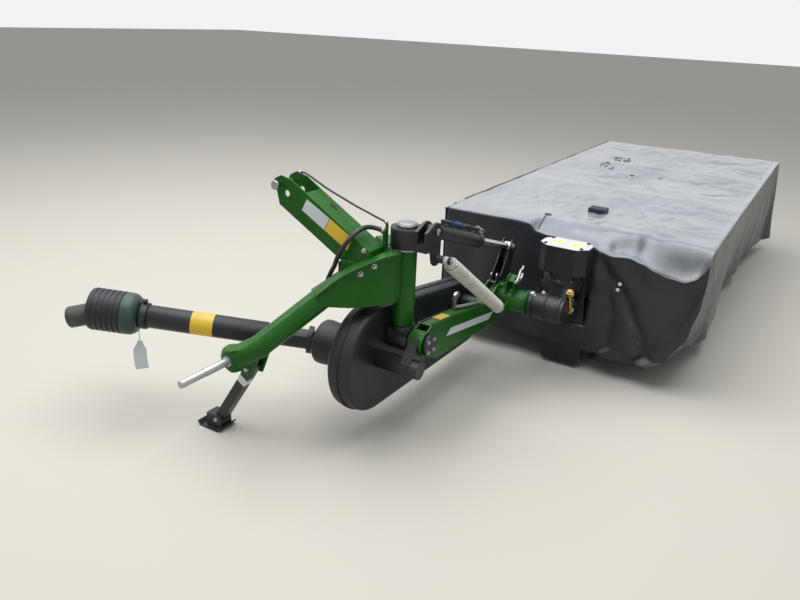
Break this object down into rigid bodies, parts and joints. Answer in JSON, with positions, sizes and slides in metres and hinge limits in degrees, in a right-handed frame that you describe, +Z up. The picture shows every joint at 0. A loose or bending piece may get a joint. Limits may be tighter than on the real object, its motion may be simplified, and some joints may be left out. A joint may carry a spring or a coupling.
{
  "type": "rear-mounted disc mower",
  "caption": "Three-point mounted disc mower parked on its stand: headstock, lifting arm with belt drive, lift cylinder, relief spring and a covered cutting bed of oval discs.",
  "frame": {"origin": "on the floor, under the middle of the whole machine's box", "axes": "+X to the rear, away from the tractor; +Y to the machine's right, along the cutting bed; +Z up"},
  "size_m": [2.1734, 4.7035, 1.026],
  "materials": {
    "green_paint": "gloss",
    "black_paint": "satin",
    "black_plastic": "satin",
    "bare_steel": "satin",
    "spring_steel": "satin",
    "grey_iron": "matte",
    "cover_cloth": "matte"
  },
  "bodies": {
    "headstock": {"headstock": "green_paint", "mast": "green_paint", "hitch_pins": "bare_steel", "headstock_hose": "black_plastic", "mast_cable": "black_plastic"},
    "stand": {"stand_leg": "black_paint"},
    "swivel": {"kingpin": "bare_steel", "swivel_head": "black_paint", "swivel_foot": "black_paint"},
    "arm": {"arm_beam": "green_paint", "lift_lever": "black_paint", "guard_front": "black_plastic", "guard_rear": "black_plastic", "bearing_tube": "black_paint", "cone_cup": "black_plastic"},
    "input_rotor": {"input_shaft": "bare_steel"},
    "knuckle": {"shaft_knuckle": "bare_steel"},
    "shaft_near_half": {"shaft_inner_guard": "black_plastic"},
    "shaft_far_half": {"shaft_outer_guard": "black_plastic", "shaft_cone": "black_plastic"},
    "shaft_end": {"shaft_yoke": "grey_iron"},
    "cylinder": {"lift_barrel": "black_paint"},
    "cylinder_rod": {"lift_rod": "bare_steel"},
    "spring": {"spring_coil": "spring_steel"},
    "spring_end": {"spring_rod": "bare_steel"},
    "bed": {"bed_bracket": "black_paint", "gearbox": "grey_iron", "gearbox_guard": "black_plastic", "cutter_bar": "grey_iron", "skids": "grey_iron", "bed_frame": "black_paint", "cover_rails": "black_paint", "cover_sheet": "cover_cloth", "inner_curtain": "cover_cloth", "outer_curtain": "cover_cloth", "rear_curtain": "cover_cloth"},
    "front_flap": {"front_curtain": "cover_cloth"},
    "rotor_1": {"disc_1": "grey_iron"},
    "rotor_2": {"disc_2": "grey_iron"},
    "rotor_3": {"disc_3": "grey_iron"},
    "rotor_4": {"disc_4": "grey_iron"},
    "rotor_5": {"disc_5": "grey_iron"},
    "rotor_6": {"disc_6": "grey_iron"},
    "rotor_7": {"disc_7": "grey_iron"}
  },
  "joints": [
    {"name": "breakaway_swing", "type": "hinge", "parent": "headstock", "child": "swivel", "pos_m": [0.1467, -1.6032, 0.6], "axis": [0, 0, 1], "range_deg": [-18, 0]},
    {"name": "arm_lift", "type": "hinge", "parent": "swivel", "child": "arm", "pos_m": [0.2267, -1.6032, 0.42], "axis": [1, 0, 0], "range_deg": [-5, 40]},
    {"name": "bed_float", "type": "hinge", "parent": "arm", "child": "bed", "pos_m": [0.2967, -0.8932, 0.4], "axis": [1, 0, 0], "range_deg": [-12, 28]},
    {"name": "lift_barrel_swing", "type": "hinge", "parent": "swivel", "child": "cylinder", "pos_m": [0.2277, -1.5682, 0.863], "axis": [1, 0, 0], "range_deg": [-6, 43]},
    {"name": "lift_rod_slide", "type": "slide", "parent": "cylinder", "child": "cylinder_rod", "axis": [0, 0.952, -0.3061], "range_m": [-0.31, 0.045]},
    {"name": "spring_swing", "type": "hinge", "parent": "swivel", "child": "spring", "pos_m": [0.2937, -1.5532, 0.756], "axis": [1, 0, 0], "range_deg": [-6, 38]},
    {"name": "spring_rod_slide", "type": "slide", "parent": "spring", "child": "spring_end", "axis": [0, 0.8323, -0.5544], "range_m": [-0.24, 0.035], "deforming": ["spring_coil"]},
    {"name": "stand_fold", "type": "hinge", "parent": "headstock", "child": "stand", "pos_m": [-0.2733, -1.9992, 0.33], "axis": [0, -1, 0], "range_deg": [-45, 0]},
    {"name": "input_spin", "type": "hinge", "parent": "arm", "child": "input_rotor", "pos_m": [0.1467, -1.6832, 0.345], "axis": [1, 0, 0], "continuous": true},
    {"name": "shaft_yaw", "type": "hinge", "parent": "arm", "child": "knuckle", "pos_m": [-0.1533, -1.6832, 0.345], "axis": [0, 0, 1], "range_deg": [-30, 5]},
    {"name": "shaft_pitch", "type": "hinge", "parent": "knuckle", "child": "shaft_near_half", "pos_m": [-0.1533, -1.6832, 0.345], "axis": [-0.5, 0.866, 0], "range_deg": [-3, 12]},
    {"name": "shaft_telescope", "type": "slide", "parent": "shaft_near_half", "child": "shaft_far_half", "axis": [-0.8613, -0.4973, 0.1045], "range_m": [-0.15, 0.1]},
    {"name": "shaft_spin", "type": "hinge", "parent": "shaft_far_half", "child": "shaft_end", "pos_m": [-0.1533, -1.6832, 0.345], "axis": [-0.8613, -0.4973, 0.1045], "continuous": true},
    {"name": "front_flap_hinge", "type": "hinge", "parent": "bed", "child": "front_flap", "pos_m": [-0.2053, 0.3818, 0.688], "axis": [0, 1, 0], "range_deg": [0, 100]},
    {"name": "disc_1_spin", "type": "hinge", "parent": "bed", "child": "rotor_1", "pos_m": [0.4817, -0.3532, 0.07], "axis": [0, 0, 1], "continuous": true},
    {"name": "disc_2_spin", "type": "hinge", "parent": "bed", "child": "rotor_2", "pos_m": [0.4817, 0.0318, 0.07], "axis": [0, 0, 1], "continuous": true},
    {"name": "disc_3_spin", "type": "hinge", "parent": "bed", "child": "rotor_3", "pos_m": [0.4817, 0.4168, 0.07], "axis": [0, 0, 1], "continuous": true},
    {"name": "disc_4_spin", "type": "hinge", "parent": "bed", "child": "rotor_4", "pos_m": [0.4817, 0.8018, 0.07], "axis": [0, 0, 1], "continuous": true},
    {"name": "disc_5_spin", "type": "hinge", "parent": "bed", "child": "rotor_5", "pos_m": [0.4817, 1.1868, 0.07], "axis": [0, 0, 1], "continuous": true},
    {"name": "disc_6_spin", "type": "hinge", "parent": "bed", "child": "rotor_6", "pos_m": [0.4817, 1.5718, 0.07], "axis": [0, 0, 1], "continuous": true},
    {"name": "disc_7_spin", "type": "hinge", "parent": "bed", "child": "rotor_7", "pos_m": [0.4817, 1.9568, 0.07], "axis": [0, 0, 1], "continuous": true}
  ],
  "couplings": [
    {"joint": "disc_2_spin", "follows": "disc_1_spin", "ratio": -1},
    {"joint": "disc_3_spin", "follows": "disc_1_spin", "ratio": 1},
    {"joint": "disc_4_spin", "follows": "disc_1_spin", "ratio": -1},
    {"joint": "disc_5_spin", "follows": "disc_1_spin", "ratio": 1},
    {"joint": "disc_6_spin", "follows": "disc_1_spin", "ratio": -1},
    {"joint": "disc_7_spin", "follows": "disc_1_spin", "ratio": 1},
    {"joint": "input_spin", "follows": "disc_1_spin", "ratio": 0.18},
    {"joint": "shaft_spin", "follows": "disc_1_spin", "ratio": -0.18},
    {"joint": "lift_barrel_swing", "follows": "arm_lift", "ratio": 1.045},
    {"joint": "lift_rod_slide", "follows": "arm_lift", "m_per_rad": -0.436},
    {"joint": "spring_swing", "follows": "arm_lift", "ratio": 0.9},
    {"joint": "spring_rod_slide", "follows": "arm_lift", "m_per_rad": -0.328}
  ]
}
